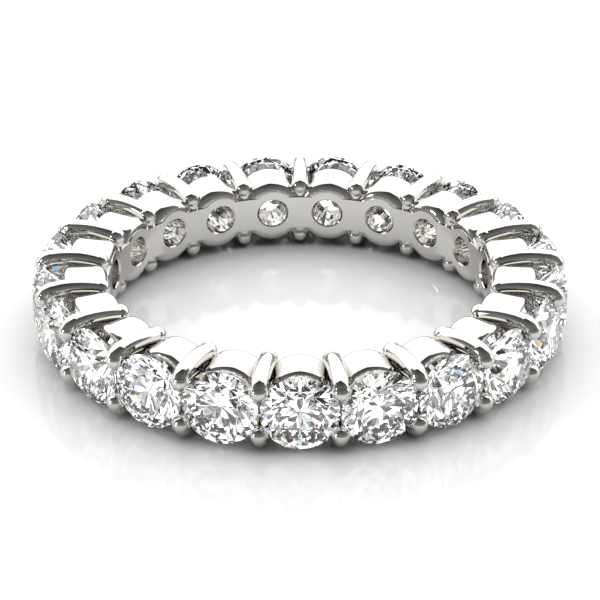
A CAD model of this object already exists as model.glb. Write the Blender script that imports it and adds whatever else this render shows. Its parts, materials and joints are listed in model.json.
"""Looks of the eternity wedding ring: materials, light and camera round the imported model.

All lengths are in metres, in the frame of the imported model: +Z is the ring's axis, the ring lies
on z = 0, and the camera looks along +Y.
"""

import json
import math

import bpy
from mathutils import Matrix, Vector


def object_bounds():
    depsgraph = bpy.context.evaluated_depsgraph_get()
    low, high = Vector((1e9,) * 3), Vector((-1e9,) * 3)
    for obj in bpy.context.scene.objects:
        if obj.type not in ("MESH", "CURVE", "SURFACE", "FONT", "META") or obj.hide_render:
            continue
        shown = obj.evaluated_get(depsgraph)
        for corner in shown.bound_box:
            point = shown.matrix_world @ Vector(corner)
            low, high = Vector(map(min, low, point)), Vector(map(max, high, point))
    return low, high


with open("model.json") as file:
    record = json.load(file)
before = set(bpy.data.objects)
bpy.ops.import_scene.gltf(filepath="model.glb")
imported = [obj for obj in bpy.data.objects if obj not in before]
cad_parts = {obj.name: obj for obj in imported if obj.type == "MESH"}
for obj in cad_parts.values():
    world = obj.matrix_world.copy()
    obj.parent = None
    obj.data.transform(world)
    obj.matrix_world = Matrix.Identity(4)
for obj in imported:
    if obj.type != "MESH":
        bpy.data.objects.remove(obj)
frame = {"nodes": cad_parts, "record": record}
cad_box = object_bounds()

MM = 0.001

# The camera, fitted to the 21 repeats of the ring in the photograph
IMAGE_SIDE = 600
FOCAL_PX = 3238.3
SENSOR = 36.0
CAMERA_DISTANCE = 139.71 * MM
CAMERA_ELEVATION = math.radians(26.246)
RING_ABOVE_CENTRE_PX = 7.26
CLIP = (1 * MM, 10.0)

# The world has three lights: one for what the camera and the mirrors see, one for the floor and one
# for what is seen through the stones. This is the strength of them all
WORLD_STRENGTH = 1.75

# The first light is a white tent with an opening on the camera's side. Pairs of the height in
# degrees and the opening's reach at that height, in degrees to either side of -Y
OPENING = ((0, 86), (12, 94), (35, 92), (60, 76), (90, 60))
OPENING_SOFT = math.radians(2.5)
# Grey of the dark room behind the opening, in pairs with the height in degrees
ROOM = ((0, 0.15), (30, 0.1), (60, 0.05), (85, 0.02))
# Grey of the tent, in pairs with the height in degrees: white, above a dark line at the horizon
TENT = ((0, 0.15), (3, 0.3), (6, 1))
# A small square lamp low in the opening, towards its left edge
LAMP_AZIMUTH = math.radians(-66)
LAMP_ELEVATION = math.radians(11)
LAMP_HALF = math.radians(5)
LAMP_STRENGTH = 6.0

# The floor's light comes from behind and overhead. By the part of its direction along +Y, it fades
# in from nothing at the first value to full at the second
FLOOR_FADE = (-0.8, 0.1)

# Through the stones shows a pattern of flat panels. Each panel draws a random number from 0 to 1,
# and its grey is the one in the last pair that starts at or below that number
PANEL_SCALE = 4.2
PANELS = ((0.0, 0.0), (0.24, 0.05), (0.3, 0.3), (0.36, 0.65), (0.42, 1.2))
# Smaller cells over the panels draw two numbers. Those whose first is above GLINT_FROM are glints,
# and the second gives their colour
GLINT_SCALE = 14.0
GLINT_FROM = 0.91
GLINT_SHARE = 0.45
GLINTS = (
    (0.0, (0.45, 0.65, 1.0)),
    (0.4, (1.0, 0.75, 0.5)),
    (0.55, (0.6, 0.9, 1.0)),
    (0.85, (1.0, 0.9, 0.55)),
)

# White gold: its tone wanders between two colours and its polish between two roughnesses
GOLD_COLOURS = ((0.66, 0.645, 0.615), (0.70, 0.685, 0.655))
GOLD_ROUGHNESS = (0.02, 0.09)
GOLD_TONE = {"scale": 900.0, "detail": 3.0}
GOLD_MARKS = {"scale": 2500.0, "detail": 4.0, "rough": 0.6}

# Diamond: its tint wanders between a bluish and a yellowish white
DIAMOND_COLOURS = ((0.985, 0.99, 1.0), (1.0, 0.995, 0.985))
DIAMOND_IOR = 2.417
DIAMOND_SPECULAR = 0.25
DIAMOND_TINT = {"scale": 180.0, "detail": 1.0}

FLOOR_HALF = 1.5
FLOOR_GREY = 0.9
FLOOR_ROUGHNESS = 0.08
FLOOR_SPECULAR = 0.3

# Enough bounces for light to find its way out of the stones
BOUNCES = {"max_bounces": 24, "transmission_bounces": 20, "glossy_bounces": 8}


def rgba(colour):
    """A colour for a socket, from a grey level or an RGB colour."""
    rgb = colour if isinstance(colour, tuple) else (colour, colour, colour)
    return (*rgb, 1)


class Nodes:
    """A small helper that builds a node tree from nested calls."""

    def __init__(self, tree):
        tree.nodes.clear()
        self.tree = tree

    def add(self, kind, **settings):
        node = self.tree.nodes.new(kind)
        for name, value in settings.items():
            setattr(node, name, value)
        return node

    def plug(self, socket, value):
        if isinstance(value, bpy.types.NodeSocket):
            self.tree.links.new(value, socket)
        else:
            socket.default_value = value

    def split(self, kind, value):
        """The three parts of a vector or a colour."""
        node = self.add(kind)
        self.plug(node.inputs[0], value)
        return node.outputs

    def math(self, operation, *values, clamp=False):
        node = self.add("ShaderNodeMath", operation=operation, use_clamp=clamp)
        for socket, value in zip(node.inputs, values):
            self.plug(socket, value)
        return node.outputs[0]

    def ramp(self, value, stops, interpolation="LINEAR"):
        """A colour ramp: each stop is a place from 0 to 1 and a grey level or an RGB colour."""
        node = self.add("ShaderNodeValToRGB")
        node.color_ramp.interpolation = interpolation
        elements = node.color_ramp.elements
        while len(elements) > 1:
            elements.remove(elements[-1])
        for k, (place, colour) in enumerate(stops):
            element = elements[0] if k == 0 else elements.new(place)
            element.position = place
            element.color = rgba(colour)
        self.plug(node.inputs[0], value)
        return node.outputs[0]

    def height_ramp(self, height, pairs, full=1):
        """A ramp over the height, 1 at the zenith, from pairs of degrees and a part of full."""
        return self.ramp(height, [(angle / 90, share / full) for angle, share in pairs])

    def step(self, value, low, high):
        """0 below low, 1 above high, smooth between."""
        node = self.add("ShaderNodeMapRange", interpolation_type="SMOOTHSTEP", clamp=True)
        self.plug(node.inputs["Value"], value)
        self.plug(node.inputs["From Min"], low)
        self.plug(node.inputs["From Max"], high)
        return node.outputs[0]

    def mix(self, share, a, b):
        """A colour between a and b. Sockets 6 and 7, and output 2, are the node's colour ones."""
        node = self.add("ShaderNodeMix", data_type="RGBA")
        self.plug(node.inputs[0], share)
        self.plug(node.inputs[6], a)
        self.plug(node.inputs[7], b)
        return node.outputs[2]

    def noise(self, scale, detail, rough=0.5):
        """A smooth random level, fixed to the object."""
        coords = self.add("ShaderNodeTexCoord")
        node = self.add("ShaderNodeTexNoise")
        self.plug(node.inputs["Vector"], coords.outputs["Object"])
        node.inputs["Scale"].default_value = scale
        node.inputs["Detail"].default_value = detail
        node.inputs["Roughness"].default_value = rough
        return node.outputs["Fac"]

    def cells(self, vector, scale):
        """Random numbers, three for each cell of space."""
        node = self.add("ShaderNodeTexVoronoi")
        self.plug(node.inputs["Vector"], vector)
        node.inputs["Scale"].default_value = scale
        return self.split("ShaderNodeSeparateColor", node.outputs["Color"])


def make_camera():
    """A long lens in front of the ring, looking down at it, aimed just below the ring's middle."""
    lo, hi = cad_box
    middle = Vector((0, 0, (lo.z + hi.z) / 2))
    back = Vector((0, -math.cos(CAMERA_ELEVATION), math.sin(CAMERA_ELEVATION)))
    up = Vector((0, math.sin(CAMERA_ELEVATION), math.cos(CAMERA_ELEVATION)))
    aim = middle - up * (RING_ABOVE_CENTRE_PX / FOCAL_PX * CAMERA_DISTANCE)
    data = bpy.data.cameras.new("camera")
    data.sensor_width = SENSOR
    data.lens = FOCAL_PX / IMAGE_SIDE * SENSOR
    data.clip_start, data.clip_end = CLIP
    camera = bpy.data.objects.new("camera", data)
    camera.location = middle + back * CAMERA_DISTANCE
    camera.rotation_mode = "QUATERNION"
    camera.rotation_quaternion = (aim - camera.location).to_track_quat("-Z", "Y")
    bpy.context.collection.objects.link(camera)
    bpy.context.scene.camera = camera


def tent_light(n, direction):
    """What the camera and the mirrors see: white round and above, a dark opening and one lamp."""
    x, y, z = n.split("ShaderNodeSeparateXYZ", direction)
    azimuth = n.math("ARCTAN2", x, n.math("MULTIPLY", y, -1.0))
    elevation = n.math("ARCSINE", z)
    height = n.math("DIVIDE", elevation, math.pi / 2, clamp=True)
    reach = n.math("MULTIPLY", n.height_ramp(height, OPENING, full=180), math.pi)
    past_reach = n.math("SUBTRACT", n.math("ABSOLUTE", azimuth), reach)
    beside = n.step(past_reach, -OPENING_SOFT, OPENING_SOFT)
    dark = n.height_ramp(height, ROOM)
    tent = n.height_ramp(height, TENT)
    across = n.math("COMPARE", azimuth, LAMP_AZIMUTH, LAMP_HALF)
    along = n.math("COMPARE", elevation, LAMP_ELEVATION, LAMP_HALF)
    lamp = n.math("MULTIPLY", across, along)
    return n.mix(lamp, n.mix(beside, dark, tent), rgba(LAMP_STRENGTH))


def floor_light(n, direction):
    """What lights the floor: white from behind and overhead."""
    along_y = n.split("ShaderNodeSeparateXYZ", direction)[1]
    return n.step(along_y, *FLOOR_FADE)


def stone_light(n, direction):
    """What is seen through the stones: white, grey and dark panels, and a few coloured glints."""
    panel = n.cells(direction, PANEL_SCALE)
    panels = n.ramp(panel[0], PANELS, interpolation="CONSTANT")
    glint = n.cells(direction, GLINT_SCALE)
    tint = n.ramp(glint[1], GLINTS, interpolation="CONSTANT")
    coloured = n.math("GREATER_THAN", glint[0], GLINT_FROM)
    return n.mix(n.math("MULTIPLY", coloured, GLINT_SHARE), panels, tint)


def make_world():
    """The three lights, each for its own kind of ray."""
    world = bpy.data.worlds.new("studio")
    bpy.context.scene.world = world
    world.use_nodes = True
    n = Nodes(world.node_tree)
    direction = n.add("ShaderNodeTexCoord").outputs["Generated"]
    ray = n.add("ShaderNodeLightPath").outputs
    around = n.mix(ray["Is Diffuse Ray"], tent_light(n, direction), floor_light(n, direction))
    light = n.mix(ray["Is Transmission Ray"], around, stone_light(n, direction))
    background = n.add("ShaderNodeBackground")
    n.plug(background.inputs["Color"], light)
    background.inputs["Strength"].default_value = WORLD_STRENGTH
    out = n.add("ShaderNodeOutputWorld")
    n.plug(out.inputs["Surface"], background.outputs[0])


def new_material(name):
    """A material with one shader, its helper for nodes, and the shader's sockets."""
    material = bpy.data.materials.new(name)
    material.use_nodes = True
    n = Nodes(material.node_tree)
    shader = n.add("ShaderNodeBsdfPrincipled")
    out = n.add("ShaderNodeOutputMaterial")
    n.plug(out.inputs["Surface"], shader.outputs[0])
    return material, n, shader.inputs


def make_floor():
    """A wide white surface that the ring lies on."""
    mesh = bpy.data.meshes.new("floor")
    side = FLOOR_HALF
    corners = [(-side, -side, 0), (side, -side, 0), (side, side, 0), (-side, side, 0)]
    mesh.from_pydata(corners, [], [(0, 1, 2, 3)])
    floor = bpy.data.objects.new("floor", mesh)
    bpy.context.collection.objects.link(floor)
    material, _, sockets = new_material("floor")
    sockets["Base Color"].default_value = rgba(FLOOR_GREY)
    sockets["Roughness"].default_value = FLOOR_ROUGHNESS
    sockets["Specular IOR Level"].default_value = FLOOR_SPECULAR
    mesh.materials.append(material)
    # The floor isn't seen through the stones, so below the horizon too they show their own light
    floor.visible_transmission = False


def white_gold():
    """Polished white gold: a slightly warm mirror with the faintest polishing marks."""
    material, n, sockets = new_material("white_gold")
    sockets["Metallic"].default_value = 1.0
    colour = n.mix(n.noise(**GOLD_TONE), *map(rgba, GOLD_COLOURS))
    n.plug(sockets["Base Color"], colour)
    rough = n.add("ShaderNodeMapRange")
    n.plug(rough.inputs["Value"], n.noise(**GOLD_MARKS))
    rough.inputs["To Min"].default_value, rough.inputs["To Max"].default_value = GOLD_ROUGHNESS
    n.plug(sockets["Roughness"], rough.outputs[0])
    return material


def diamond():
    """Colourless diamond: clear, highly refracting, with a breath of tint from stone to stone."""
    material, n, sockets = new_material("diamond")
    sockets["Transmission Weight"].default_value = 1.0
    sockets["IOR"].default_value = DIAMOND_IOR
    sockets["Roughness"].default_value = 0.0
    sockets["Specular IOR Level"].default_value = DIAMOND_SPECULAR
    colour = n.mix(n.noise(**DIAMOND_TINT), *map(rgba, DIAMOND_COLOURS))
    n.plug(sockets["Base Color"], colour)
    return material


def finish_cad():
    """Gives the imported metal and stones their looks."""
    looks = {"white_gold": white_gold(), "diamond": diamond()}
    for entry in frame["record"]["subparts"]:
        node = frame["nodes"][entry["node"]]
        for slot in node.material_slots:
            slot.material = looks[entry["material_slot"]]


def light_paths():
    """How far light is followed, and how its brightness is shown."""
    scene = bpy.context.scene
    for name, bounces in BOUNCES.items():
        setattr(scene.cycles, name, bounces)
    # No light reaches the floor by way of the metal's mirrors
    scene.cycles.caustics_reflective = False
    scene.cycles.use_denoising = True
    scene.view_settings.view_transform = "Standard"


make_camera()
make_world()
make_floor()
finish_cad()
light_paths()
